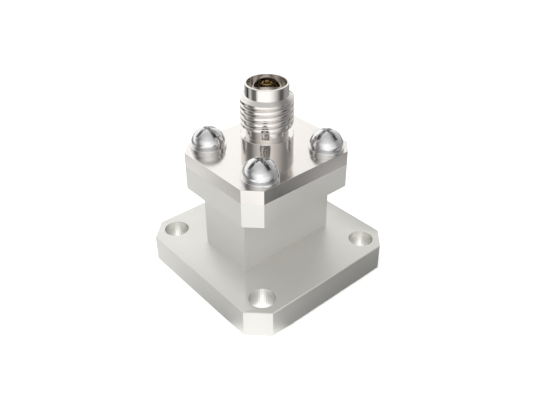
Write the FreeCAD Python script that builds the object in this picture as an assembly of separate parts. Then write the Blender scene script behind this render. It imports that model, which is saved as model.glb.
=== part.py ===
import FreeCAD, Part
import math
import os

# End-launch adapter from rectangular waveguide to a coaxial jack. Sizes are in millimetres.
# The origin is the centre of the waveguide flange's mating face, +Z runs up the common axis of the
# waveguide and the jack, and +X runs along the broad side of the waveguide.

# Waveguide: the inside size of the tube
guide_width = 10.668
guide_height = 4.318

# Base flange, which bolts to the next waveguide. The margins run from the centres of the holes.
flange_thickness = 3.5
flange_hole_spacing_x = 16.26
flange_hole_spacing_y = 17.02
flange_hole_diameter = 3.05
flange_edge_margin = 2.6
flange_corner_margin = 2.32

# Tube between the two flanges
side_wall = 1.37
broad_wall = 1.6
tube_length = 7.8

# Top flange and connector plate, which share one outline with its margins from the screws
plate_side_margin = 3.1
plate_front_margin = 2.2
plate_corner_margin = 2.51
top_flange_thickness = 3.1
plate_thickness = 1.7
edge_break = 0.08

# Jack, outside
barrel_diameter = 6.15
barrel_length = 2.1
undercut_depth = 0.55
undercut_length = 1.2
thread_diameter = 6.2
thread_length = 3.35
thread_end_break = 0.35
lead_in_length = 0.42
pilot_wall = 0.2
pilot_length = 1.15

# Jack, inside: the mating bore and the air line behind it
jack_bore_diameter = 4.6
jack_bore_depth = 1.95
line_bore_diameter = 2.92

# Socket contact in the air line
contact_diameter = 1.27
contact_recess = 0.05
socket_hole_diameter = 0.93
socket_hole_depth = 2.0
socket_slot_width = 0.16
socket_slot_depth = 1.6

# Support bead, and the seat that it shares with the bushing below it
bead_diameter = 4.2
bead_thickness = 1.2
bead_rise = 0.2

# Feed pin: a stud through the bead, a collar below it and a thin pin into the ridge
stud_diameter = 0.76
stud_reach = 0.55
pin_collar_length = 1.2
pin_diameter = 0.5
pin_reach = 1.3
dielectric_diameter = 1.68

# Stepped ridge on the +Y broad wall, with its tall end at the jack
ridge_width = 3.0
ridge_end_gap = 0.3
ridge_pin_wall = 0.35
tall_step_length = 3.2
middle_step_height = 2.0
middle_step_length = 3.4
low_step_height = 1.1
low_step_length = 3.4

# Plate screws: domed heads with a cross recess, in blind holes
screw_spacing_x = 10.0
screw_spacing_y = 9.4
screw_diameter = 2.5
screw_reach = 2.3
screw_head_diameter = 4.32
screw_rim_height = 0.4
recess_span = 3.0
recess_tip_span = 1.4
recess_blade = 0.5
recess_depth = 1.6

# Clearances, all of them on the radius or at the end of a hole
press_gap = 0.01
pin_gap = 0.03
thread_gap = 0.02
screw_hole_gap = 0.1
hole_end_gap = 0.15

# Outlines
flange_side = flange_hole_spacing_y + 2 * flange_edge_margin
plate_width = screw_spacing_x + 2 * plate_side_margin
plate_depth = screw_spacing_y + 2 * plate_front_margin

# Levels along the axis
flange_top = flange_thickness
tube_top = flange_top + tube_length
plate_bottom = tube_top + top_flange_thickness
plate_top = plate_bottom + plate_thickness
barrel_top = plate_top + barrel_length
thread_bottom = barrel_top + undercut_length
thread_top = thread_bottom + thread_length
pilot_bottom = thread_top + lead_in_length
rim_top = pilot_bottom + pilot_length
reference_plane = rim_top - jack_bore_depth
contact_top = reference_plane - contact_recess
bead_top = thread_bottom + bead_rise
bead_bottom = bead_top - bead_thickness
pin_collar_bottom = bead_bottom - pin_collar_length
stud_top = bead_top + stud_reach
ridge_top = plate_bottom - ridge_end_gap
pin_tip = ridge_top - pin_reach

UP = FreeCAD.Vector(0, 0, 1)
ORIGIN = FreeCAD.Vector(0, 0, 0)


def block(width, depth, bottom, top):
    """A box centred on the axis."""
    corner = FreeCAD.Vector(-width / 2, -depth / 2, bottom)
    return Part.makeBox(width, depth, top - bottom, corner)


def rod(diameter, bottom, top, x=0.0, y=0.0):
    """An upright round rod."""
    return Part.makeCylinder(diameter / 2, top - bottom, FreeCAD.Vector(x, y, bottom), UP)


def turned(points):
    """A solid turned about the axis from its half section, given as radius and level."""
    section = Part.makePolygon([FreeCAD.Vector(r, 0, z) for r, z in points + points[:1]])
    return Part.Face(section).revolve(ORIGIN, UP, 360)


def corner_cut(width, depth, spacing_x, spacing_y, margin):
    """Leg of a 45 degree corner cut that runs at the margin from the hole in that corner."""
    return (width + depth - spacing_x - spacing_y) / 2 - math.sqrt(2) * margin


def clipped_corner_slab(width, depth, corner, bottom, top):
    """A slab with a rectangular outline whose four corners are cut off at 45 degrees."""
    x = width / 2
    y = depth / 2
    outline = [
        (x, y - corner),
        (x - corner, y),
        (corner - x, y),
        (-x, y - corner),
        (-x, corner - y),
        (corner - x, -y),
        (x - corner, -y),
        (x, corner - y),
    ]
    points = [FreeCAD.Vector(a, b, bottom) for a, b in outline + outline[:1]]
    face = Part.Face(Part.makePolygon(points))
    return face.extrude(UP * (top - bottom))


def with_broken_edges(slab, levels):
    """The slab with a small bevel on its outline at each of the given levels."""
    edges = []
    for edge in slab.Edges:
        ends = [vertex.Z for vertex in edge.Vertexes]
        if any(max(abs(z - level) for z in ends) < edge_break / 2 for level in levels):
            edges.append(edge)
    return slab.makeChamfer(edge_break, edges)


def corners(spacing_x, spacing_y):
    """The four corners of a rectangle centred on the axis."""
    return [(i * spacing_x / 2, j * spacing_y / 2) for i in (-1, 1) for j in (-1, 1)]


def plate_slab(bottom, top):
    """A slab with the outline that the top flange and the connector plate share."""
    corner = corner_cut(plate_width, plate_depth, screw_spacing_x, screw_spacing_y,
                        plate_corner_margin)
    return clipped_corner_slab(plate_width, plate_depth, corner, bottom, top)


def waveguide_body():
    """Base flange, tube and top flange, milled from one block, with the waveguide through it."""
    corner = corner_cut(flange_side, flange_side, flange_hole_spacing_x, flange_hole_spacing_y,
                        flange_corner_margin)
    base = clipped_corner_slab(flange_side, flange_side, corner, 0, flange_top)
    base = with_broken_edges(base, [0, flange_top])
    tube = block(guide_width + 2 * side_wall, guide_height + 2 * broad_wall, 0, plate_bottom)
    top = with_broken_edges(plate_slab(tube_top, plate_bottom), [tube_top])
    body = base.fuse([tube, top])
    cuts = [block(guide_width, guide_height, 0, plate_bottom)]
    for x, y in corners(flange_hole_spacing_x, flange_hole_spacing_y):
        cuts.append(rod(flange_hole_diameter, 0, flange_top, x, y))
    tapped_diameter = screw_diameter + 2 * thread_gap
    tapped_bottom = plate_bottom - screw_reach - hole_end_gap
    for x, y in corners(screw_spacing_x, screw_spacing_y):
        cuts.append(rod(tapped_diameter, tapped_bottom, plate_bottom, x, y))
    return body.cut(cuts).removeSplitter()


def ridge_transformer():
    """Three steps that rise from the broad wall to the axis, with a blind hole for the feed pin."""
    wall = guide_height / 2
    hole_diameter = pin_diameter + 2 * pin_gap
    tall_face = -(hole_diameter / 2 + ridge_pin_wall)
    middle_face = wall - middle_step_height
    low_face = wall - low_step_height
    middle_top = ridge_top - tall_step_length
    low_top = middle_top - middle_step_length
    ridge_bottom = low_top - low_step_length
    profile = [
        (wall, ridge_bottom),
        (low_face, ridge_bottom),
        (low_face, low_top),
        (middle_face, low_top),
        (middle_face, middle_top),
        (tall_face, middle_top),
        (tall_face, ridge_top),
        (wall, ridge_top),
    ]
    side = -ridge_width / 2
    points = [FreeCAD.Vector(side, y, z) for y, z in profile + profile[:1]]
    ridge = Part.Face(Part.makePolygon(points)).extrude(FreeCAD.Vector(ridge_width, 0, 0))
    return ridge.cut(rod(hole_diameter, pin_tip - hole_end_gap, ridge_top))


def shell_outside():
    """Barrel, undercut, thread at its major diameter, lead-in cone and pilot collar."""
    barrel_radius = barrel_diameter / 2
    thread_radius = thread_diameter / 2
    undercut_radius = thread_radius - undercut_depth
    pilot_radius = jack_bore_diameter / 2 + pilot_wall
    return turned([
        (0, plate_bottom),
        (barrel_radius, plate_bottom),
        (barrel_radius, barrel_top),
        (undercut_radius, barrel_top),
        (undercut_radius, thread_bottom),
        (thread_radius - thread_end_break, thread_bottom),
        (thread_radius, thread_bottom + thread_end_break),
        (thread_radius, thread_top),
        (pilot_radius, pilot_bottom),
        (pilot_radius, rim_top),
        (0, rim_top),
    ])


def shell_inside():
    """The space inside the shell: bead and bushing seat, air line and mating bore."""
    seat_radius = bead_diameter / 2
    line_radius = line_bore_diameter / 2
    bore_radius = jack_bore_diameter / 2
    return turned([
        (0, plate_bottom),
        (seat_radius, plate_bottom),
        (seat_radius, bead_top),
        (line_radius, bead_top),
        (line_radius, reference_plane),
        (bore_radius, reference_plane),
        (bore_radius, rim_top),
        (0, rim_top),
    ])


def connector_shell():
    """The polished plate and the jack's outer conductor in one piece."""
    plate = with_broken_edges(plate_slab(plate_bottom, plate_top), [plate_top])
    cuts = [shell_inside()]
    hole_diameter = screw_diameter + 2 * screw_hole_gap
    for x, y in corners(screw_spacing_x, screw_spacing_y):
        cuts.append(rod(hole_diameter, plate_bottom, plate_top, x, y))
    return plate.fuse(shell_outside()).cut(cuts).removeSplitter()


def retaining_bushing():
    """Pressed in from below: it holds the bead up and narrows the line to the PTFE section."""
    seat_radius = bead_diameter / 2 - press_gap
    line_radius = line_bore_diameter / 2
    rear_radius = dielectric_diameter / 2
    return turned([
        (rear_radius, plate_bottom),
        (seat_radius, plate_bottom),
        (seat_radius, bead_bottom),
        (line_radius, bead_bottom),
        (line_radius, pin_collar_bottom),
        (rear_radius, pin_collar_bottom),
    ])


def support_bead():
    """The plastic disc that holds the centre conductor on the axis."""
    bead = rod(bead_diameter - 2 * press_gap, bead_bottom, bead_top)
    return bead.cut(rod(stud_diameter + 2 * pin_gap, bead_bottom, bead_top))


def rear_dielectric():
    """The PTFE sleeve between the feed pin and the bushing."""
    sleeve = rod(dielectric_diameter - 2 * press_gap, plate_bottom, pin_collar_bottom)
    return sleeve.cut(rod(pin_diameter + 2 * pin_gap, plate_bottom, pin_collar_bottom))


def socket_contact():
    """The slotted socket: four spring fingers in front, a hole for the feed pin's stud behind."""
    contact = rod(contact_diameter, bead_top, contact_top)
    slot_bottom = contact_top - socket_slot_depth
    cuts = [
        rod(socket_hole_diameter, contact_top - socket_hole_depth, contact_top),
        rod(stud_diameter + 2 * press_gap, bead_top, stud_top),
        block(contact_diameter, socket_slot_width, slot_bottom, contact_top),
        block(socket_slot_width, contact_diameter, slot_bottom, contact_top),
    ]
    return contact.cut(cuts)


def feed_pin():
    """The rear centre conductor: stud, collar below the bead, and the pin that enters the ridge."""
    stud_radius = stud_diameter / 2
    collar_radius = contact_diameter / 2
    pin_radius = pin_diameter / 2
    return turned([
        (0, pin_tip),
        (pin_radius, pin_tip),
        (pin_radius, pin_collar_bottom),
        (collar_radius, pin_collar_bottom),
        (collar_radius, bead_bottom),
        (stud_radius, bead_bottom),
        (stud_radius, stud_top),
        (0, stud_top),
    ])


def cross_recess(rim_top_level):
    """The driver's recess: two crossed blades that narrow towards their floor."""
    dome_radius = screw_head_diameter / 2
    apex = rim_top_level + dome_radius
    floor = apex - recess_depth
    reach = recess_span / 2
    shoulder = rim_top_level + math.sqrt(dome_radius ** 2 - reach ** 2)
    tip = recess_tip_span / 2
    profile = [
        (-tip, floor),
        (tip, floor),
        (reach, shoulder),
        (reach, apex),
        (-reach, apex),
        (-reach, shoulder),
    ]
    side = -recess_blade / 2
    points = [FreeCAD.Vector(x, side, z) for x, z in profile + profile[:1]]
    blade = Part.Face(Part.makePolygon(points)).extrude(FreeCAD.Vector(0, recess_blade, 0))
    crossed = blade.copy()
    crossed.rotate(ORIGIN, UP, 90)
    return blade.fuse(crossed)


def plate_screw():
    """One screw on the axis: shank, a short cylindrical rim and a half-round dome."""
    rim_top_level = plate_top + screw_rim_height
    shank = rod(screw_diameter, plate_bottom - screw_reach, plate_top)
    rim = rod(screw_head_diameter, plate_top, rim_top_level)
    centre = FreeCAD.Vector(0, 0, rim_top_level)
    dome = Part.makeSphere(screw_head_diameter / 2, centre, UP, 0, 90)
    return shank.fuse([rim, dome]).cut(cross_recess(rim_top_level)).removeSplitter()


def plate_screws():
    """Four like screws at the corners of a rectangle, as separate solids."""
    screw = plate_screw()
    placed = []
    for x, y in corners(screw_spacing_x, screw_spacing_y):
        copy = screw.copy()
        copy.translate(FreeCAD.Vector(x, y, 0))
        placed.append(copy)
    return Part.makeCompound(placed)


pieces = {
    "waveguide_body": waveguide_body(),
    "ridge_transformer": ridge_transformer(),
    "connector_shell": connector_shell(),
    "retaining_bushing": retaining_bushing(),
    "support_bead": support_bead(),
    "rear_dielectric": rear_dielectric(),
    "socket_contact": socket_contact(),
    "feed_pin": feed_pin(),
    "plate_screws": plate_screws(),
}

os.makedirs("parts", exist_ok=True)
for name, shape in pieces.items():
    shape.exportStep("parts/" + name + ".step")
    print(name, len(shape.Solids), "solid", round(shape.Volume, 3), "mm3", shape.isValid())
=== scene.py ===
import math

import bmesh
import bpy
import numpy as np
from bpy.props import FloatProperty, FloatVectorProperty, IntProperty, PointerProperty
from bpy.types import Operator, Panel, PropertyGroup
from mathutils import Matrix, Vector


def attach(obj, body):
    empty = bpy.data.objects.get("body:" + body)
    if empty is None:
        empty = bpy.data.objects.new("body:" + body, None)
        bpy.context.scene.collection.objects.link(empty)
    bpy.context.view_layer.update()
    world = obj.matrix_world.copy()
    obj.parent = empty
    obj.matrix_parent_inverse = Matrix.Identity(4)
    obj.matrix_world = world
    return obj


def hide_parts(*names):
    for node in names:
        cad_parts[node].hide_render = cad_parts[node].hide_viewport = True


bl_info = {
    "name": "Waveguide adapter",
    "version": (1, 0, 0),
    "blender": (4, 5, 0),
    "location": "View3D > Sidebar > Adapter",
    "description": "Thread, screws, contact, metal finishes and a small studio for the adapter",
    "category": "Object",
}

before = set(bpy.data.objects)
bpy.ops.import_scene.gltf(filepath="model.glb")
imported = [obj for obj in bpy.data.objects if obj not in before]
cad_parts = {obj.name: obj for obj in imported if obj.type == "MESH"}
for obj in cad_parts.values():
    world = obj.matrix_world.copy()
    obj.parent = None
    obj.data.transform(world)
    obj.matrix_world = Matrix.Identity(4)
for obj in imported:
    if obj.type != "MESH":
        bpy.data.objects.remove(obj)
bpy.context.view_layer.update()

MM = 0.001
FULL_TURN = 2 * math.pi

# Levels of the connector in millimetres
PLATE_BOTTOM = 14.4
PLATE_TOP = 16.1
BARREL_TOP = 18.06
THREAD_BOTTOM = 19.3
THREAD_TOP = 22.62
PILOT_BOTTOM = 23.0
RIM_TOP = 24.32
BORE_FLOOR = 22.37
CONTACT_TOP = 22.32
BEAD_TOP = 19.6
SCREW_BOTTOM = 12.1

# Radius of the seat that holds bead and bushing in the plate
SEAT_RADIUS = 2.1

# The axes of the waveguide flange's holes from the middle
HOLE_X = 8.13
HOLE_Y = 8.51

# Distance at which a row of points beside a rounded edge keeps the flat next to it flat
KEEP = 0.015

# The light tent and its floor. Turns count in degrees from the camera's side, which lies at
# CAMERA_SIDE from +X, and each tone is the brightness that a perfect mirror would show there.
CAMERA_SIDE = -130.4
TENT_RADIUS = 500.0
# The floor's tones are painted light and shade that glow for every ray but the camera's. In the
# beside and near rows, the dark turns from about 40 to 100 degrees are a painted shadow of the
# adapter.
FLOOR_TONES = {
    "beside": (
        (-180, 1.0), (-90, 1.0), (-60, 0.65), (-35, 0.45), (-22, 0.4), (-14, 1.3), (4, 1.3),
        (12, 0.2), (40, 0.1), (73, 0.08), (100, 0.2), (140, 0.6)),
    "near": (
        (-180, 1.15), (-130, 1.5), (-107, 1.45), (-98, 1.12), (-91, 0.82), (-80, 0.58),
        (-62, 0.6), (-50, 1.15), (-30, 1.4), (-12, 1.25), (-3, 1.55), (20, 1.45), (40, 1.05),
        (55, 0.45), (64, 0.23), (75, 0.36), (82, 0.58), (88, 0.72), (100, 0.5), (130, 0.3),
        (160, 0.8)),
    "far": (
        (-180, 0.6), (-165, 0.6), (-140, 0.45), (-128, 0.3), (-118, 0.03), (-110, 0.08),
        (-100, 0.6), (-92, 0.85), (-84, 0.5), (-76, 0.17), (-58, 0.2), (-50, 1.0), (-43, 1.5),
        (0, 1.55), (12, 1.5), (30, 1.2), (41, 0.93), (52, 0.62), (64, 0.28), (73, 0.13),
        (84, 0.13), (93, 0.25), (105, 0.4), (123, 0.43), (137, 0.4), (165, 0.4)),
    "away": (
        (-180, 0.8), (-140, 0.6), (-120, 0.4), (-105, 0.5), (-90, 0.4), (-75, 0.3), (-60, 0.25),
        (-45, 0.35), (-35, 0.8), (-25, 1.2), (-15, 1.4), (15, 1.4), (30, 1.15), (45, 0.9),
        (60, 0.6), (75, 0.4), (90, 0.4), (105, 0.45), (120, 0.4), (160, 0.4), (172, 0.6)),
}
# The rows of the floor by their distance from the axis, in millimetres
FLOOR_ROWS = ((19.0, "beside"), (28.0, "near"), (48.0, "far"), (57.0, "far"), (68.0, "away"))
TENT_TONES = {
    "horizon": (
        (-180, 1.45), (-150, 1.4), (-105, 1.4), (-90, 1.05), (-75, 0.42), (-62, 0.2), (-45, 0.42),
        (-30, 1.05), (-18, 1.5), (20, 1.55), (30, 1.4), (45, 1.2), (60, 0.75), (75, 0.42),
        (90, 0.4), (105, 0.5), (135, 0.7), (165, 1.2)),
    "low": (
        (-180, 1.4), (-150, 1.4), (-118, 1.3), (-106, 1.0), (-96, 0.5), (-86, 0.3), (-66, 0.3),
        (-54, 0.6), (-42, 0.95), (-30, 1.2), (-15, 1.5), (8, 1.5), (30, 1.2), (45, 0.95),
        (60, 0.7), (75, 0.45), (90, 0.48), (105, 0.58), (135, 0.8), (150, 0.95), (165, 1.2)),
    "middle": (
        (-180, 1.4), (-150, 1.4), (-118, 1.3), (-108, 0.8), (-100, 0.4), (-90, 0.25), (-78, 0.24),
        (-68, 0.38), (-55, 0.8), (-45, 1.0), (-30, 1.25), (-15, 1.55), (0, 1.65), (15, 1.45),
        (30, 1.15), (45, 0.9), (60, 0.65), (75, 0.45), (90, 0.4), (105, 0.55), (120, 0.65),
        (135, 0.75), (150, 0.9), (165, 1.2)),
    "high": (
        (-180, 1.3), (-150, 1.3), (-120, 1.25), (-105, 0.8), (-90, 0.5), (-75, 0.4), (-60, 0.55),
        (-45, 0.75), (-30, 1.03), (0, 1.15), (15, 1.05), (30, 0.95), (45, 0.78), (60, 0.5),
        (75, 0.33), (90, 0.28), (120, 0.34), (150, 0.45), (165, 0.8)),
    "upper": (
        (-180, 1.1), (-150, 1.1), (-120, 0.9), (-90, 0.7), (-60, 0.8), (-45, 0.85), (-30, 0.95),
        (0, 1.02), (30, 0.88), (45, 0.76), (60, 0.6), (90, 0.35), (120, 0.3), (150, 0.42),
        (165, 0.8)),
    "roof": ((0, 0.82),),
}
# The rows of the tent by their height above the floor, in degrees
TENT_ROWS = ((5.0, "horizon"), (20.0, "low"), (30.0, "middle"), (42.0, "high"), (58.0, "upper"),
             (80.0, "roof"))


def linear(code):
    """A colour written as an sRGB hex code, as linear values with full opacity.

    A dark value is divided by 12.92. Any other has 0.055 added, is divided by 1.055 and raised to
    the power 2.4.
    """
    channels = np.array([int(code[i:i + 2], 16) for i in (0, 2, 4)]) / 255
    low = channels / 12.92
    high = ((channels + 0.055) / 1.055) ** 2.4
    return (*np.where(channels <= 0.04045, low, high).tolist(), 1.0)


def add_node(tree, kind, settings=None, values=None, links=None):
    """Adds a node with its own settings, its unlinked input values and its links."""
    node = tree.nodes.new(kind)
    for key, value in (settings or {}).items():
        setattr(node, key, value)
    for key, value in (values or {}).items():
        node.inputs[key].default_value = value
    for key, source in (links or {}).items():
        tree.links.new(source, node.inputs[key])
    return node


def length(name, description, millimetres):
    """A length for the panel, whose default is given in millimetres."""
    return FloatProperty(name=name, description=description, default=millimetres * MM,
                         unit="LENGTH", precision=5)


def swatch(name, description, code):
    """A colour for the panel, whose default is given as a hex code."""
    return FloatVectorProperty(name=name, description=description, subtype="COLOR", size=4,
                               min=0, max=1, default=linear(code))


class JackSizes(PropertyGroup):
    barrel_diameter: length("Barrel", "Diameter of the smooth barrel on the plate", 6.15)
    neck_diameter: length("Neck", "Diameter of the relief between barrel and thread", 4.96)
    thread_diameter: length(
        "Thread", "Diameter over the polished crests of the coupling thread", 6.1)
    thread_pitch: length("Pitch", "Rise of the thread in one turn", 0.7056)
    thread_depth: length("Thread depth", "Depth of the groove below the crest", 0.26)
    thread_phase: FloatProperty(
        name="Thread start", description="Turn about the axis at which the thread starts",
        default=-0.2, unit="ROTATION")
    pilot_diameter: length("Pilot", "Outside diameter of the collar above the thread", 5.0)
    bore_diameter: length("Bore", "Inside diameter of the open end", 4.52)
    line_diameter: length("Air line", "Inside diameter behind the bore's floor", 2.92)
    edge_rounding: length("Edges", "Radius of the polished outer edges", 0.05)
    barrel_chamfer: length("Barrel edge", "Leg of the chamfer on the barrel's upper edge", 0.06)
    bore_chamfer: length("Bore edge", "Leg of the chamfer at the mouth of the bore", 0.02)


class PlateSizes(PropertyGroup):
    width: length("Width", "Size of the plate along X", 16.2)
    depth: length("Depth", "Size of the plate along Y", 13.8)
    corner: length("Corner", "Leg of the cut-off corners", 1.75)


class ScrewSizes(PropertyGroup):
    spacing_x: length("Spacing X", "Distance between the screws along X", 10.0)
    spacing_y: length("Spacing Y", "Distance between the screws along Y", 9.4)
    rim_diameter: length("Rim", "Diameter of the low rim that sits on the plate", 4.2)
    rim_height: length("Rim height", "Height of the rim below the dome", 0.36)
    throat_diameter: length("Throat", "Diameter of the narrowest place between rim and dome", 3.78)
    dome_radius: length("Dome", "Radius of the dome", 2.03)
    dome_lift: length("Dome lift", "Height of the dome's centre above the plate", 0.42)
    dome_foot: length("Dome foot", "Height of the dome's lower edge above its centre", 0.5)
    recess_span: length("Recess span", "Length of the cross recess at the dome's surface", 3.05)
    recess_width: length("Recess width", "Width of each arm of the cross recess", 0.44)
    recess_floor_span: length("Floor span", "Length of the cross recess at its floor", 0.9)
    recess_depth: length("Recess depth", "Depth of the cross recess below the top of the dome", 1.1)
    shank_diameter: length("Shank", "Diameter of the shank in the plate", 2.5)


class ContactSizes(PropertyGroup):
    diameter: length("Diameter", "Outside diameter of the socket contact", 1.27)
    hole_diameter: length("Hole", "Diameter of the hole for the mating pin", 0.93)
    slot_width: length("Slot", "Width of the slots between the spring fingers", 0.16)
    slot_depth: length("Slot depth", "Depth of the slots from the front of the contact", 1.6)
    finger_count: IntProperty(
        name="Fingers", description="Number of spring fingers", default=4, min=2, max=8)


class FinishColours(PropertyGroup):
    blasted: swatch("Blasted body", "Colour of the blasted and plated body", "E3E2DD")
    steel: swatch("Polished steel", "Colour of the polished plate and jack", "D7D3CF")
    screw: swatch("Screws", "Colour of the bright screws", "D3D3D3")
    gold: swatch("Gold plating", "Colour of the plated contact and bushing", "DCC48C")
    milled: swatch("Milled ridge", "Colour of the milled ridge in the waveguide", "DAD9D6")
    bead: swatch("Bead", "Colour of the plastic support bead", "D8C79A")
    sleeve: swatch("Sleeve", "Colour of the white sleeve round the feed pin", "EFEFEC")


class StageSettings(PropertyGroup):
    floor: FloatVectorProperty(
        name="Floor", description="Colour of the floor in front of the camera",
        subtype="COLOR", size=4, min=0, soft_max=2, default=(1.6, 1.6, 1.6, 1.0))
    # Brightness of the painted light in the floor's glow below each hole, which shows as a streak
    # in the drilled wall
    under: FloatProperty(
        name="Under the flange", description="Brightness of the paper below the flange's holes",
        default=1.6, min=0)
    surround: FloatProperty(
        name="Surround", description="Brightness of the background in front of the camera",
        default=1.0, min=0)
    tent: FloatProperty(
        name="Tent", description="Strength of the tent that lights the adapter and shows in it",
        default=1.0, min=0)


def new_piece(name, mesh):
    """An object of the scene with the given mesh."""
    piece = bpy.data.objects.new(name, mesh)
    bpy.context.scene.collection.objects.link(piece)
    return piece


def around(radius, angle, level):
    """Points in space from their distance from the axis, their turn about it and their level."""
    return np.stack(np.broadcast_arrays(
        radius * np.cos(angle), radius * np.sin(angle), level), axis=-1)


def quads(index):
    """Four-sided faces between the neighbours in a grid of point numbers."""
    corners = np.stack([index[:-1, :-1], index[:-1, 1:], index[1:, 1:], index[1:, :-1]], axis=-1)
    return corners.reshape(-1, 4).tolist()


def surface(name, points, wrap_columns, wrap_rows, sharp_degrees, merge=True):
    """A mesh object from a grid of points in millimetres, rows by columns.

    Neighbouring rows and columns are joined by four-sided faces, a row that shrinks to one point
    becomes a pole, and edges that turn by more than the given angle stay sharp.
    """
    rows, columns = points.shape[:2]
    index = np.arange(rows * columns).reshape(rows, columns)
    if wrap_rows:
        index = np.vstack([index, index[:1]])
    if wrap_columns:
        index = np.hstack([index, index[:, :1]])
    mesh = bpy.data.meshes.new(name)
    mesh.from_pydata((points.reshape(-1, 3) * MM).tolist(), [], quads(index))
    if merge:
        finish_mesh(mesh, sharp_degrees)
    return new_piece(name, mesh)


def finish_mesh(mesh, sharp_degrees):
    """Merges doubled points and shades the mesh smooth, apart from its sharp edges."""
    same_point = 0.0002 * MM
    no_length = 0.00001 * MM
    work = bmesh.new()
    work.from_mesh(mesh)
    bmesh.ops.remove_doubles(work, verts=work.verts, dist=same_point)
    bmesh.ops.dissolve_degenerate(work, edges=work.edges, dist=no_length)
    work.to_mesh(mesh)
    work.free()
    mesh.shade_smooth()
    mesh.set_sharp_from_angle(angle=math.radians(sharp_degrees))
    mesh.update()


def smooth_copy(node, name, sharp_degrees):
    """A merged copy of a CAD node's mesh, whose round faces are shaded smooth."""
    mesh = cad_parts[node].data.copy()
    mesh.name = name
    mesh.materials.clear()
    finish_mesh(mesh, sharp_degrees)
    return new_piece(name, mesh)


def place(piece, material, node):
    """Gives a piece its finish and lets it stand for a CAD node on the one body."""
    piece.data.materials.append(material)
    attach(piece, "root")
    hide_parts(node)


def dress(node, material):
    """Gives a CAD node that stays its finish."""
    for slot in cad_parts[node].material_slots:
        slot.material = material


def quarter_arc(count):
    """Sine and cosine at equal steps of a quarter turn, for rounded edges."""
    turn = np.linspace(0, math.pi / 2, count)
    return list(zip(np.sin(turn), np.cos(turn)))


def new_material(name, roughness):
    """A node material with its tree, its shader and the place on the piece in metres."""
    material = bpy.data.materials.new(name)
    material.use_nodes = True
    tree = material.node_tree
    shader = tree.nodes["Principled BSDF"]
    shader.inputs["Roughness"].default_value = roughness
    where = add_node(tree, "ShaderNodeTexCoord").outputs["Object"]
    return material, tree, shader, where


def new_metal(name, colour, roughness, metallic=1.0):
    """A new material with a metallic shader of the given colour."""
    material, tree, shader, where = new_material(name, roughness)
    shader.inputs["Base Color"].default_value = colour
    shader.inputs["Metallic"].default_value = metallic
    return material, tree, shader, where


def patches(tree, where, size, detail, roughness=0.5):
    """A random pattern from 0 to 1 whose patches have the given size in millimetres."""
    return add_node(tree, "ShaderNodeTexNoise", values={
        "Scale": 1 / (size * MM), "Detail": detail, "Roughness": roughness},
        links={"Vector": where}).outputs["Fac"]


def tool_marks(tree, where, spacing, distortion):
    """Level tool marks from 0 to 1, whose scale is one over the spacing in millimetres."""
    return add_node(tree, "ShaderNodeTexWave", {"bands_direction": "Z"}, values={
        "Scale": 1 / (spacing * MM), "Distortion": distortion, "Detail": 2.0},
        links={"Vector": where}).outputs["Fac"]


def stretch(tree, pattern, low, high, to_low, to_high):
    """A value that runs from one result to the other while the pattern runs from low to high."""
    return add_node(tree, "ShaderNodeMapRange", values={
        "From Min": low, "From Max": high, "To Min": to_low, "To Max": to_high},
        links={"Value": pattern}).outputs["Result"]


def add_relief(tree, shader, pattern, strength):
    """Tilts the surface by the slope of a pattern that is 0.01 mm high at full strength."""
    bump = add_node(tree, "ShaderNodeBump", values={
        "Strength": strength, "Distance": 0.01 * MM}, links={"Height": pattern})
    tree.links.new(bump.outputs["Normal"], shader.inputs["Normal"])


def add_tint(tree, shader, colour, shade, pattern):
    """Mixes the colour with a darker one, which is the colour times the shade, by a pattern."""
    dark = [channel * shade for channel in colour[:3]] + [1.0]
    tint = add_node(tree, "ShaderNodeMix", {"data_type": "RGBA"}, values={
        "A": dark, "B": list(colour)}, links={"Factor": pattern})
    tree.links.new(tint.outputs["Result"], shader.inputs["Base Color"])


def blasted_aluminium(colours):
    """Bead-blasted aluminium under a thin clear plating: soft broad highlights, a fine even
    grain and slightly cloudy gloss. The flange holes are drilled, so their walls are smoother and
    show a light streak, which mirrors a painted bright strip in the floor's glow below each hole."""
    metallic = 0.55
    drilled_roughness = 0.25
    drilled_metallic = 0.9
    drilled_reach = 1.53
    blasted_reach = 1.55
    material, tree, shader, where = new_metal(
        "blasted_aluminium", colours.blasted, 0.45, metallic)
    # Pits of 0.1 mm, drawn twice as wide as real blasting pits so that they show
    pits = patches(tree, where, 0.1, 3.0, 0.6)
    add_tint(tree, shader, colours.blasted, 0.955, stretch(tree, pits, 0.3, 0.6, 0.0, 1.0))
    add_relief(tree, shader, pits, 0.12)
    # Clouds of 2.5 mm, where the plating took a little differently
    gloss = stretch(tree, patches(tree, where, 2.5, 2.0), 0.3, 0.7, 0.42, 0.5)
    # Distance from the nearest flange hole's axis: its drilled wall lies within 1.53 mm
    quadrant = add_node(tree, "ShaderNodeVectorMath", {"operation": "ABSOLUTE"},
                        links={0: where})
    offset = add_node(tree, "ShaderNodeVectorMath", {"operation": "SUBTRACT"}, values={
        1: (HOLE_X * MM, HOLE_Y * MM, 0)}, links={0: quadrant.outputs["Vector"]})
    level = add_node(tree, "ShaderNodeVectorMath", {"operation": "MULTIPLY"}, values={
        1: (1, 1, 0)}, links={0: offset.outputs["Vector"]})
    reach = add_node(tree, "ShaderNodeVectorMath", {"operation": "LENGTH"},
                     links={0: level.outputs["Vector"]})
    blasted = stretch(tree, reach.outputs["Value"],
                      drilled_reach * MM, blasted_reach * MM, 0.0, 1.0)
    rough = add_node(tree, "ShaderNodeMix", {"data_type": "FLOAT"}, values={
        "A": drilled_roughness}, links={"Factor": blasted, "B": gloss})
    metal = add_node(tree, "ShaderNodeMix", {"data_type": "FLOAT"}, values={
        "A": drilled_metallic, "B": metallic}, links={"Factor": blasted})
    tree.links.new(rough.outputs["Result"], shader.inputs["Roughness"])
    tree.links.new(metal.outputs["Result"], shader.inputs["Metallic"])
    return material


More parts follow.
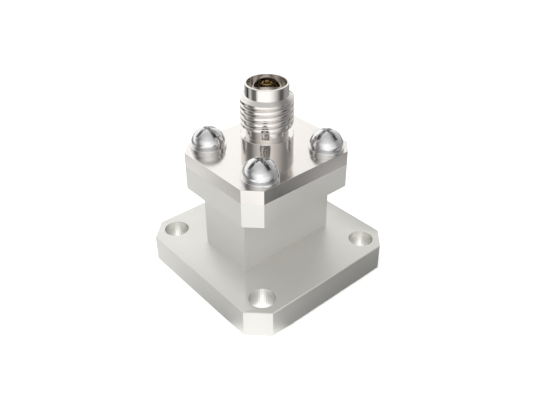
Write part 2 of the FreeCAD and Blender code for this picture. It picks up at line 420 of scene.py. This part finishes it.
def polished_steel(colours):
    """Stainless steel, turned and polished on the jack to nearly a mirror with faint rubbed marks,
    and ground on the plate, where reflections blur with their distance."""
    material, tree, shader, where = new_metal("polished_steel", colours.steel, 0.07)
    gloss = stretch(tree, patches(tree, where, 0.8, 4.0), 0.35, 0.65, 0.05, 0.1)
    height = add_node(tree, "ShaderNodeSeparateXYZ", links={"Vector": where})
    # The ground plate is rougher by 0.08, and the change lies within 0.03 mm above its top
    ground = stretch(tree, height.outputs["Z"],
                     (PLATE_TOP + 0.01) * MM, (PLATE_TOP + 0.03) * MM, 0.08, 0.0)
    rough = add_node(tree, "ShaderNodeMath", {"operation": "ADD"}, links={0: gloss, 1: ground})
    tree.links.new(rough.outputs["Value"], shader.inputs["Roughness"])
    return material


def bright_screw_steel(colours):
    """Tumbled and bright-plated steel: a clear but slightly uneven mirror."""
    material, tree, shader, where = new_metal("bright_screw_steel", colours.screw, 0.1)
    add_relief(tree, shader, patches(tree, where, 0.5, 2.0), 0.15)
    return material


def gold_plating(colours):
    """Gold plated on turned brass: warm and bright, with faint turning marks."""
    material, tree, shader, where = new_metal("gold_plating", colours.gold, 0.24)
    add_relief(tree, shader, tool_marks(tree, where, 0.4, 0.4), 0.05)
    return material


def milled_aluminium(colours):
    """Milled aluminium: fine parallel cutter marks across the ridge."""
    material, tree, shader, where = new_metal("milled_aluminium", colours.milled, 0.32)
    add_relief(tree, shader, tool_marks(tree, where, 0.6, 1.0), 0.1)
    return material


def machined_plastic(name, colour, roughness, scatter):
    """Turned plastic: a soft sheen over a slightly see-through body, with faint cloudiness."""
    material, tree, shader, where = new_material(name, roughness)
    shader.inputs["Subsurface Weight"].default_value = scatter
    shader.inputs["Subsurface Radius"].default_value = (0.4 * MM, 0.3 * MM, 0.2 * MM)
    add_tint(tree, shader, colour, 0.93, patches(tree, where, 0.6, 2.0))
    return material


def outline_columns(half_width, half_depth, corner, count):
    """How columns are spread round the plate: their angles, the side of the outline that each
    meets, the share of that side before the meeting point, and the corner that comes first.

    The columns lie at equal angles about the axis, and one more lies on each of the eight corners.
    The share is the cross product of the side's first corner and the column's direction, over that
    of the direction and the side.
    """
    corners = outline_corners(half_width, half_depth, corner, 0.0)
    corner_angles = np.arctan2(corners[:, 1], corners[:, 0]) % FULL_TURN
    angles = np.unique(np.round(np.concatenate([
        np.linspace(0, FULL_TURN, count, endpoint=False), corner_angles]), 9))
    start = np.argmin(corner_angles)
    corners = np.roll(corners, -start, axis=0)
    corner_angles = np.roll(corner_angles, -start)
    side = (np.searchsorted(np.round(corner_angles, 9), angles, side="right") - 1) % 8
    first = corners[side]
    step = np.roll(corners, -1, axis=0)[side] - first
    ray = np.stack([np.cos(angles), np.sin(angles)], axis=1)
    across = first[:, 0] * ray[:, 1] - first[:, 1] * ray[:, 0]
    along = step[:, 1] * ray[:, 0] - step[:, 0] * ray[:, 1]
    return angles, side, across / along, start


def outline_corners(half_width, half_depth, corner, inset):
    """The eight corners of the plate's outline, moved inwards by the inset on every side."""
    x = half_width - inset
    y = half_depth - inset
    leg = corner - inset * (2 - math.sqrt(2))
    return np.array([
        (x, y - leg), (x - leg, y), (leg - x, y), (-x, y - leg),
        (-x, leg - y), (leg - x, -y), (x - leg, -y), (x, leg - y)])


def plate_and_jack(plate, jack):
    """The plate and the jack as one closed surface: a section is carried round the axis.

    Each row of the grid is a loop, either a circle or the plate's outline moved inwards. It lies at
    one level, but for the thread's rows, which climb with the angle and follow its profile.
    """
    half_width = plate.width / MM / 2
    half_depth = plate.depth / MM / 2
    corner = plate.corner / MM
    angles, side, share, start = outline_columns(half_width, half_depth, corner, 192)
    # One more column, a full turn on, meets the first: in the thread one pitch higher
    angles = np.append(angles, angles[0] + FULL_TURN)
    side = np.append(side, side[0])
    share = np.append(share, share[0])
    circle = np.stack([np.cos(angles), np.sin(angles)], axis=1)
    rounding = jack.edge_rounding / MM
    arc = quarter_arc(5)

    def outline(inset):
        corners = np.roll(outline_corners(half_width, half_depth, corner, inset), -start, axis=0)
        following = np.roll(corners, -1, axis=0)
        return corners[side] + (following - corners)[side] * share[:, None]

    rows = []

    def add(loop, level):
        level = np.broadcast_to(level, len(angles))
        rows.append(np.column_stack([loop, level]))

    barrel = jack.barrel_diameter / MM / 2
    neck = jack.neck_diameter / MM / 2
    pilot = jack.pilot_diameter / MM / 2
    bore = jack.bore_diameter / MM / 2
    line = jack.line_diameter / MM / 2

    # Plate: wall, rounded upper edge, and the flat top up to the barrel
    for level in np.linspace(PLATE_BOTTOM, PLATE_TOP - rounding - KEEP, 5):
        add(outline(0.0), level)
    for s, c in arc:
        add(outline(rounding * (1 - c)), PLATE_TOP - rounding * (1 - s))
    for blend in (0.01, 0.25, 0.5, 0.75, 1.0):
        add(outline(rounding) * (1 - blend) + circle * barrel * blend, PLATE_TOP)
    # Barrel with its chamfered upper edge
    chamfer = jack.barrel_chamfer / MM
    for level in np.linspace(PLATE_TOP, BARREL_TOP - chamfer, 6)[1:]:
        add(circle * barrel, level)
    for radius in (barrel - chamfer, neck + chamfer):
        add(circle * radius, BARREL_TOP)
    # Neck, with a small fillet at its foot
    fillet = 0.04
    add(circle * (neck + fillet + KEEP), BARREL_TOP)
    for s, c in arc:
        add(circle * (neck + fillet * (1 - s)), BARREL_TOP + fillet * (1 - c))
    for level in np.linspace(BARREL_TOP + fillet + KEEP, THREAD_BOTTOM, 4):
        add(circle * neck, level)
    # Thread, from the face above the neck to the foot of the pilot
    for level in thread_levels(angles, jack):
        add(circle * thread_radius(level, angles, jack)[:, None], level)
    # Pilot collar, rim and bore
    for level in np.linspace(PILOT_BOTTOM, RIM_TOP - rounding - KEEP, 6)[1:]:
        add(circle * pilot, level)
    for s, c in arc:
        add(circle * (pilot - rounding * (1 - c)), RIM_TOP - rounding * (1 - s))
    mouth = jack.bore_chamfer / MM
    add(circle * (bore + mouth), RIM_TOP)
    for level in np.linspace(RIM_TOP - mouth, BORE_FLOOR, 6):
        add(circle * bore, level)
    for radius in np.linspace(bore, line, 4)[1:]:
        add(circle * radius, BORE_FLOOR)
    for level in np.linspace(BORE_FLOOR, BEAD_TOP, 5)[1:]:
        add(circle * line, level)
    # Seat of the bead, and the plate's underside
    for level in np.linspace(BEAD_TOP, PLATE_BOTTOM, 5):
        add(circle * SEAT_RADIUS, level)
    for blend in (0.25, 0.5, 0.75):
        add(circle * SEAT_RADIUS * (1 - blend) + outline(0.0) * blend, PLATE_BOTTOM)
    return surface("plate_and_jack", np.array(rows), False, True, 25)


def thread_profile(jack):
    """Half of the thread's profile: distance along the axis from the crest's middle, and drop.

    The crest takes half of the pitch, the flanks stand at 30 degrees to the plane across the axis,
    and arcs round the edge of the crest and the foot of the flank. An arc keeps clear of its corner
    by its radius times the tangent of half the 60 degree turn.
    """
    pitch = jack.thread_pitch / MM
    depth = jack.thread_depth / MM
    crest_arc = 0.07
    root_arc = 0.04
    turn = np.radians(np.linspace(0, 60, 5))
    crest_corner = pitch * 0.25
    clear = math.tan(math.radians(30))
    root_corner = crest_corner + depth * clear
    along = np.concatenate([
        [0.0], crest_corner + crest_arc * (np.sin(turn) - clear),
        root_corner - root_arc * (np.sin(turn[::-1]) - clear), [pitch / 2]])
    drop = np.concatenate([
        [0.0], crest_arc * (1 - np.cos(turn)),
        depth - root_arc * (1 - np.cos(turn[::-1])), [depth]])
    return along, drop


def thread_climb(angles, jack):
    """Height of the crest above the thread's start: the share of a turn times the pitch."""
    return (angles + jack.thread_phase) / FULL_TURN * (jack.thread_pitch / MM)


def thread_levels(angles, jack):
    """Levels of the thread's rows, which follow the helix and are held between its two ends.

    A row rises by one pitch in a turn, so the crest climbs with the angle, as on a right-hand
    thread.
    """
    pitch = jack.thread_pitch / MM
    along, drop = thread_profile(jack)
    # More rows across the crest's flat land and the straight flank
    land = np.linspace(along[0], along[1], 4)[:-1]
    flank = np.linspace(along[5], along[6], 4)[1:-1]
    half = np.concatenate([land, along[1:6], flank, along[6:]])
    section = np.concatenate([-half[:0:-1], half])
    climb = thread_climb(angles, jack)
    turns = math.ceil((PILOT_BOTTOM - THREAD_BOTTOM) / pitch)
    starts = (np.arange(-2, turns + 1)[:, None] * pitch + section[None, :-1]).reshape(-1)
    return [np.clip(THREAD_BOTTOM + start + climb, THREAD_BOTTOM, PILOT_BOTTOM) for start in starts]


def thread_radius(level, angles, jack):
    """Radius of the threaded part at a level, for each angle about the axis, in millimetres.

    It is the crest's radius less the profile's drop at the distance to the nearest crest, limited
    by the bevel below and the lead-in cone above.
    """
    pitch = jack.thread_pitch / MM
    crest = jack.thread_diameter / MM / 2
    neck = jack.neck_diameter / MM / 2
    pilot = jack.pilot_diameter / MM / 2
    bevel_leg = 0.12
    start = THREAD_BOTTOM + thread_climb(angles, jack)
    from_crest = np.abs((level - start + pitch / 2) % pitch - pitch / 2)
    radius = crest - np.interp(from_crest, *thread_profile(jack))
    bevel = crest - bevel_leg + (level - THREAD_BOTTOM)
    slope = (crest - pilot) / (PILOT_BOTTOM - THREAD_TOP)
    cone = pilot + (PILOT_BOTTOM - level) * slope
    return np.clip(np.minimum(radius, np.minimum(bevel, cone)), min(neck, pilot), None)


def cross_outline(angles, half_width, reach):
    """Distance from the axis to the edge of a cross, for each angle.

    Folded into one eighth of a turn, the ray leaves the cross through the end of an arm, at the
    reach over the cosine, or through its side, at the half width over the sine.
    """
    folded = np.abs((angles + math.pi / 4) % (math.pi / 2) - math.pi / 4)
    end = reach / np.cos(folded)
    side = half_width / np.maximum(np.sin(folded), 1e-6)
    return np.minimum(end, side)


def screw_head_rows(screw):
    """Angle, radius and level of each point of a screw: rows up the shank, the rim, the throat
    and the dome, and down the recess."""
    roll = 0.06
    floor_width_share = 0.4
    floor_dip = 0.02
    dome = screw.dome_radius / MM
    rim = screw.rim_diameter / MM / 2
    throat = screw.throat_diameter / MM / 2
    shank = screw.shank_diameter / MM / 2
    half_width = screw.recess_width / MM / 2
    reach = screw.recess_span / MM / 2
    floor_reach = screw.recess_floor_span / MM / 2
    rim_top = PLATE_TOP + screw.rim_height / MM
    centre = PLATE_TOP + screw.dome_lift / MM
    foot_level = centre + screw.dome_foot / MM
    foot_rise = math.asin(screw.dome_foot / screw.dome_radius)
    floor = centre + dome - screw.recess_depth / MM
    # Points at equal angles, and on the corners of the cross at its lip and at its floor
    corners = np.array([math.atan2(half_width, reach), math.atan2(half_width, floor_reach)])
    folded = np.unique(np.round(np.concatenate([
        np.linspace(0, math.pi / 4, 13), corners]), 9))
    quarter = np.concatenate([folded, (math.pi / 2 - folded[::-1])[1:-1]])
    angles = np.concatenate([quarter + k * math.pi / 2 for k in range(4)])
    rows = []

    def add(radius, level):
        rows.append(np.stack(np.broadcast_arrays(angles, radius, level), axis=1))

    add(0.0, SCREW_BOTTOM)
    add(shank, SCREW_BOTTOM)
    add(shank, PLATE_TOP)
    # Rim with a narrow rolled edge
    add(rim, PLATE_TOP)
    add(rim, rim_top - roll - KEEP)
    for s, c in quarter_arc(4):
        add(rim - roll * (1 - c), rim_top - roll * (1 - s))
    # Throat, which widens up to the dome's foot
    foot_radius = dome * math.cos(foot_rise)
    for share in (0.0, 0.5, 1.0):
        add(throat + (foot_radius - throat) * share, rim_top + (foot_level - rim_top) * share)
    # The dome runs from its foot to the edge of the cross along the sphere
    edge = cross_outline(angles, half_width + roll, reach + roll)
    top = np.arccos(edge / dome)
    for share in np.linspace(0, 1, 28)[1:]:
        rise = foot_rise + (top - foot_rise) * share
        add(dome * np.cos(rise), centre + dome * np.sin(rise))
    # Rolled edge of the recess
    for s, c in quarter_arc(5)[1:]:
        grow = roll * (1 - s)
        radius = cross_outline(angles, half_width + grow, reach + grow)
        add(radius, centre + np.sqrt(dome ** 2 - radius ** 2) - roll * (1 - c))
    # Recess, which narrows in one slope to its floor
    lip = cross_outline(angles, half_width, reach)
    tip = cross_outline(angles, half_width * floor_width_share, floor_reach)
    lip_level = centre + np.sqrt(dome ** 2 - lip ** 2) - roll
    for share in np.linspace(0, 1, 6)[1:]:
        add(lip + (tip - lip) * share, lip_level + (floor - lip_level) * share)
    add(tip * 0.5, floor)
    add(0.0, floor - floor_dip)
    return np.array(rows)


def plate_screws(screw):
    """Four like screws, each a surface about its own axis, given by angle, radius and level."""
    angles, radius, level = np.moveaxis(screw_head_rows(screw), -1, 0)
    head = around(radius, angles, level)
    pieces = []
    for i in (-1, 1):
        for j in (-1, 1):
            offset = np.array([i * screw.spacing_x, j * screw.spacing_y, 0]) / MM / 2
            name = f"plate_screw_{len(pieces) + 1}"
            pieces.append(surface(name, head + offset, True, False, 35))
    return pieces


def contact_fingers(contact):
    """The socket contact: a short tube at the bead that splits into like spring fingers.

    A finger is its section, a closed loop of radius and level, carried along an arc whose ends
    stay half a slot from the slot's middle, so they turn by the arcsine of that over the radius.
    """
    outer = contact.diameter / MM / 2
    inner = contact.hole_diameter / MM / 2
    half_slot = contact.slot_width / MM / 2
    split = CONTACT_TOP - contact.slot_depth / MM
    below_lip = CONTACT_TOP - 0.5
    hole_floor = CONTACT_TOP - 2.0
    hole_point = 0.15
    lip = 0.05
    bow = lip * 0.3
    section = np.array([
        (outer, split), (outer, below_lip), (outer, CONTACT_TOP - lip),
        (outer - bow, CONTACT_TOP - bow), (outer - lip, CONTACT_TOP),
        (inner + lip, CONTACT_TOP), (inner + bow, CONTACT_TOP - bow),
        (inner, CONTACT_TOP - lip), (inner, below_lip), (inner, split)])
    radius, level = section.T
    half_turn = math.pi / contact.finger_count
    sweep = np.linspace(-1, 1, 15)
    fingers = []
    for finger in range(contact.finger_count):
        middle = (2 * finger + 1) * half_turn
        angle = middle + sweep[:, None] * (half_turn - np.arcsin(half_slot / radius))
        fingers.append(around(radius, angle, level))
    turn = np.linspace(0, FULL_TURN, 64, endpoint=False)
    tube = np.array([(0.0, BEAD_TOP), (outer, BEAD_TOP), (outer, split), (inner, split),
                     (inner, hole_floor), (0.0, hole_floor - hole_point)])
    return fingers, around(tube[:, :1], turn, tube[:, 1:])


def build_contact(contact):
    """Joins the fingers, with flat ends at the slots, and the tube below them into one mesh."""
    fingers, base = contact_fingers(contact)
    points = []
    faces = []

    def add(grid):
        rows, columns = grid.shape[:2]
        index = len(points) + np.arange(rows * columns).reshape(rows, columns)
        points.extend(grid.reshape(-1, 3).tolist())
        return index, np.hstack([index, index[:, :1]])

    for grid in fingers:
        index, ring = add(grid)
        faces += quads(ring.T)
        faces += [index[0].tolist(), index[-1, ::-1].tolist()]
    index, ring = add(base)
    faces += quads(ring)
    mesh = bpy.data.meshes.new("socket_contact_gold")
    mesh.from_pydata((np.array(points) * MM).tolist(), [], faces)
    finish_mesh(mesh, 35)
    return new_piece("socket_contact_gold", mesh)


class ADAPTER_OT_body(Operator):
    """Dresses the blasted body with the two flanges and the tube"""
    bl_idname = "adapter.body"
    bl_label = "Body"

    def execute(self, context):
        body = smooth_copy("waveguide_body", "blasted_body", 25)
        place(body, blasted_aluminium(context.scene.adapter_colours),
              "waveguide_body")
        return {"FINISHED"}


class ADAPTER_OT_jack(Operator):
    """Builds the polished plate and the jack with its real thread"""
    bl_idname = "adapter.jack"
    bl_label = "Plate and jack"

    def execute(self, context):
        scene = context.scene
        piece = plate_and_jack(scene.adapter_plate, scene.adapter_jack)
        place(piece, polished_steel(scene.adapter_colours), "connector_shell")
        return {"FINISHED"}


class ADAPTER_OT_screws(Operator):
    """Builds the four domed screws with their cross recess"""
    bl_idname = "adapter.screws"
    bl_label = "Screws"

    def execute(self, context):
        scene = context.scene
        material = bright_screw_steel(scene.adapter_colours)
        for piece in plate_screws(scene.adapter_screw):
            place(piece, material, "plate_screws")
        return {"FINISHED"}


class ADAPTER_OT_contact(Operator):
    """Builds the gold-plated socket with its spring fingers"""
    bl_idname = "adapter.contact"
    bl_label = "Socket contact"

    def execute(self, context):
        scene = context.scene
        piece = build_contact(scene.adapter_contact)
        gold = gold_plating(scene.adapter_colours)
        place(piece, gold, "socket_contact")
        pin = smooth_copy("feed_pin", "feed_pin_gold", 35)
        place(pin, gold, "feed_pin")
        bushing = smooth_copy("retaining_bushing", "retaining_bushing_gold", 35)
        place(bushing, gold, "retaining_bushing")
        return {"FINISHED"}


class ADAPTER_OT_inside(Operator):
    """Dresses the ridge, the support bead and the sleeve inside the adapter"""
    bl_idname = "adapter.inside"
    bl_label = "Inner parts"

    def execute(self, context):
        colours = context.scene.adapter_colours
        dress("ridge_transformer", milled_aluminium(colours))
        bead = smooth_copy("support_bead", "support_bead_plastic", 35)
        place(bead, machined_plastic("support_bead_plastic", colours.bead, 0.35, 0.3),
              "support_bead")
        sleeve = smooth_copy("rear_dielectric", "rear_dielectric_plastic", 35)
        place(sleeve, machined_plastic("fluoroplastic_sleeve", colours.sleeve, 0.4, 0.5),
              "rear_dielectric")
        return {"FINISHED"}


def tone_round(points, turn):
    """Brightness along one row of tones, by the turn from the camera's side in degrees."""
    turns, tones = np.array(points).T
    return np.interp(turn, turns, tones, period=360)


def stage_tone(rows, tones_of, level, turn):
    """Brightness at a level between the rows, blended by the distances from its two rows."""
    levels = np.array([row_level for row_level, name in rows])
    tones = np.array([tone_round(tones_of[name], turn) for row_level, name in rows])
    level = np.clip(level, levels[0], levels[-1])
    first = np.clip(np.searchsorted(levels, level, side="right") - 1, 0, len(levels) - 2)
    share = (level - levels[first]) / (levels[first + 1] - levels[first])
    return tones[first] * (1 - share) + tones[first + 1] * share


def toned_surface(name, points, tones):
    """A piece of the stage from a grid of points, which carries their brightness as `tone`."""
    piece = surface(name, points, True, False, 30, merge=False)
    attribute = piece.data.attributes.new("tone", "FLOAT", "POINT")
    attribute.data.foreach_set("value", tones.reshape(-1).astype(np.float32))
    return piece


def stage_turns(count):
    """Turns about the axis in equal steps from the camera's side, in degrees and as angles."""
    turn = np.arange(count) * 360 / count - 180
    return turn, np.radians(turn + CAMERA_SIDE)


def glowing_material(name, strength):
    """An empty node material with a glow as bright as the piece's own tones times the strength."""
    material = bpy.data.materials.new(name)
    material.use_nodes = True
    material.cycles.emission_sampling = "NONE"
    tree = material.node_tree
    tree.nodes.clear()
    tone = add_node(tree, "ShaderNodeAttribute", {"attribute_name": "tone"})
    glow = add_node(tree, "ShaderNodeEmission", values={"Strength": strength}, links={
        "Color": tone.outputs["Color"]})
    return material, tree, glow.outputs["Emission"]


def paint_light_and_shade_under_flange(points, tones, stage):
    """Paints shade into the floor's glow under the flange, and painted light in a strip below each
    hole.

    The painted shade is an octagon, which ends where X or Y reaches its side or their sum its
    corner. The drilled wall of a hole shows the bright strip below it as a streak. The strip's half
    width grows evenly towards the camera, from its value at the far end.
    """
    # Brightness of the painted shade under the flange, and the octagon that it fills
    painted_shade_tone = 0.7
    painted_shade_side = 10.3
    painted_shade_corner = 18.9
    strip_reach = 1.6
    far_end = 1.5
    far_half_width = 0.25
    widening = 0.18
    quadrant = np.abs(points[:, :, :2])
    # Painted shade: the glow under the flange is dimmed to this tone
    tones[(quadrant.max(axis=2) < painted_shade_side) & (quadrant.sum(axis=2) < painted_shade_corner)] = painted_shade_tone
    side = math.radians(CAMERA_SIDE)
    for x, y in ((HOLE_X, HOLE_Y), (-HOLE_X, HOLE_Y), (-HOLE_X, -HOLE_Y), (HOLE_X, -HOLE_Y)):
        away = points[:, :, :2] - (x, y)
        across = away @ (-math.sin(side), math.cos(side))
        along = away @ (math.cos(side), math.sin(side))
        half_width = far_half_width + widening * (along + far_end)
        strip = (np.abs(across) < half_width) & (np.hypot(across, along) < strip_reach)
        # Painted light: the strip below the hole glows at the bright tone from the settings
        tones[strip] = stage.under


def add_floor(stage):
    """A pale paper floor inside the tent. The camera sees plain paper, which keeps the shadow, and
    every other ray sees a glow of painted light and shade in place of the paper, which lights the
    adapter and shows in its metal. The glow holds a painted shadow of the adapter on its right and
    painted shade under the flange."""
    turn, angle = stage_turns(480)
    under = [0.5, 10, 10.3, 10.6, 10.9, 11.2, 11.6, 12, 12.4, 12.8, 13.2, 13.6, 14, 15]
    open_floor = [19, 22, 25, 28, 32, 36, 40, 44, 48, 52, 57, 61, 64, 68, 90, 120]
    radius = np.array([*under, *open_floor, TENT_RADIUS - 1])
    points = around(radius[:, None], angle, 0.0)
    tones = np.array([stage_tone(FLOOR_ROWS, FLOOR_TONES, r, turn) for r in radius])
    paint_light_and_shade_under_flange(points, tones, stage)
    floor = toned_surface("floor", points, tones)
    material, tree, glow = glowing_material("floor_paper_and_painted_glow", 1.0)
    path = add_node(tree, "ShaderNodeLightPath")
    paper = add_node(tree, "ShaderNodeBsdfDiffuse", values={"Color": stage.floor})
    seen = add_node(tree, "ShaderNodeMixShader", links={
        0: path.outputs["Is Camera Ray"], 1: glow, 2: paper.outputs["BSDF"]})
    add_node(tree, "ShaderNodeOutputMaterial", links={"Surface": seen.outputs["Shader"]})
    floor.data.materials.append(material)


def add_tent(stage):
    """The light tent: a dome that lights the floor and the adapter and shows in the metal, darker
    where its sides are open. The camera doesn't see it."""
    turn, angle = stage_turns(240)
    rise = np.array([0, 5, 10, 15, 20, 25, 30, 36, 42, 50, 58, 69, 80, 89])
    height = np.radians(rise)[:, None]
    points = around(TENT_RADIUS * np.cos(height), angle, TENT_RADIUS * np.sin(height))
    tones = np.array([stage_tone(TENT_ROWS, TENT_TONES, r, turn) for r in rise])
    tent = toned_surface("tent", points, tones)
    tent.visible_camera = False
    tent.visible_shadow = False
    material, tree, glow = glowing_material("tent_cloth", stage.tent)
    add_node(tree, "ShaderNodeOutputMaterial", links={"Surface": glow})
    tent.data.materials.append(material)


def add_surround(stage):
    """A white background for the camera alone: it lights nothing and shows in no metal."""
    world = bpy.data.worlds.new("white_surround")
    bpy.context.scene.world = world
    world.use_nodes = True
    world.cycles_visibility.diffuse = False
    world.cycles_visibility.glossy = False
    tree = world.node_tree
    tree.nodes.clear()
    glow = add_node(tree, "ShaderNodeBackground", values={
        "Color": (1, 1, 1, 1), "Strength": stage.surround})
    add_node(tree, "ShaderNodeOutputWorld", links={"Surface": glow.outputs["Background"]})


def add_camera():
    """The camera at the photograph's viewing angle.

    The lens is the focal length in pixels over the image's width, times the sensor's width, and
    the shifts move the optical axis to its place in the image.
    """
    azimuth = math.radians(-41.841)
    elevation = math.radians(31.388)
    roll = math.radians(0.34)
    place_in_mm = Vector((-40.103, -47.049, 50.710))
    focal_pixels = 606.02
    image_width = 560
    image_height = 400
    centre_x = 280.0
    centre_y = 170.0
    back = Vector((math.sin(azimuth) * math.cos(elevation),
                   -math.cos(azimuth) * math.cos(elevation), math.sin(elevation)))
    level_right = Vector((math.cos(azimuth), math.sin(azimuth), 0))
    level_up = back.cross(level_right)
    right = math.cos(roll) * level_right + math.sin(roll) * level_up
    up = -math.sin(roll) * level_right + math.cos(roll) * level_up
    data = bpy.data.cameras.new("photo_camera")
    data.sensor_fit = "HORIZONTAL"
    data.sensor_width = 36
    data.lens = focal_pixels / image_width * data.sensor_width
    data.shift_x = (image_width / 2 - centre_x) / image_width
    data.shift_y = (centre_y - image_height / 2) / image_width
    data.clip_start = 1 * MM
    data.clip_end = 100
    camera = bpy.data.objects.new("photo_camera", data)
    camera.matrix_world = Matrix((
        (right.x, up.x, back.x, place_in_mm.x * MM),
        (right.y, up.y, back.y, place_in_mm.y * MM),
        (right.z, up.z, back.z, place_in_mm.z * MM),
        (0, 0, 0, 1)))
    bpy.context.scene.collection.objects.link(camera)
    bpy.context.scene.camera = camera


class ADAPTER_OT_stage(Operator):
    """Sets up the pale floor, the light tent, the white background and the camera"""
    bl_idname = "adapter.stage"
    bl_label = "Stage"

    def execute(self, context):
        stage = context.scene.adapter_stage
        add_floor(stage)
        add_tent(stage)
        add_surround(stage)
        add_camera()
        context.scene.view_settings.view_transform = "Standard"
        # Light in the thread's grooves and the screws' recesses needs more than four reflections
        context.scene.cycles.max_bounces = 20
        context.scene.cycles.glossy_bounces = 12
        return {"FINISHED"}


class ADAPTER_PT_panel(Panel):
    """Lists the steps that build the adapter and the settings that they use"""
    bl_idname = "ADAPTER_PT_panel"
    bl_label = "Waveguide adapter"
    bl_space_type = "VIEW_3D"
    bl_region_type = "UI"
    bl_category = "Adapter"

    def draw(self, context):
        layout = self.layout
        for operator in OPERATORS:
            layout.operator(operator.bl_idname)
        for name, group in SETTINGS.items():
            box = layout.box()
            for key in group.__annotations__:
                box.prop(getattr(context.scene, name), key)


OPERATORS = (ADAPTER_OT_body, ADAPTER_OT_jack, ADAPTER_OT_screws, ADAPTER_OT_contact,
             ADAPTER_OT_inside, ADAPTER_OT_stage)
SETTINGS = {
    "adapter_plate": PlateSizes,
    "adapter_jack": JackSizes,
    "adapter_screw": ScrewSizes,
    "adapter_contact": ContactSizes,
    "adapter_colours": FinishColours,
    "adapter_stage": StageSettings,
}


def register():
    for group in SETTINGS.values():
        bpy.utils.register_class(group)
    for operator in OPERATORS:
        bpy.utils.register_class(operator)
    bpy.utils.register_class(ADAPTER_PT_panel)
    for name, group in SETTINGS.items():
        setattr(bpy.types.Scene, name, PointerProperty(type=group))


def unregister():
    for name in SETTINGS:
        delattr(bpy.types.Scene, name)
    bpy.utils.unregister_class(ADAPTER_PT_panel)
    for operator in reversed(OPERATORS):
        bpy.utils.unregister_class(operator)
    for group in reversed(list(SETTINGS.values())):
        bpy.utils.unregister_class(group)


def main():
    """Builds every piece and the stage."""
    register()
    bpy.ops.adapter.body()
    bpy.ops.adapter.jack()
    bpy.ops.adapter.screws()
    bpy.ops.adapter.contact()
    bpy.ops.adapter.inside()
    bpy.ops.adapter.stage()


if __name__ == "__main__":
    main()
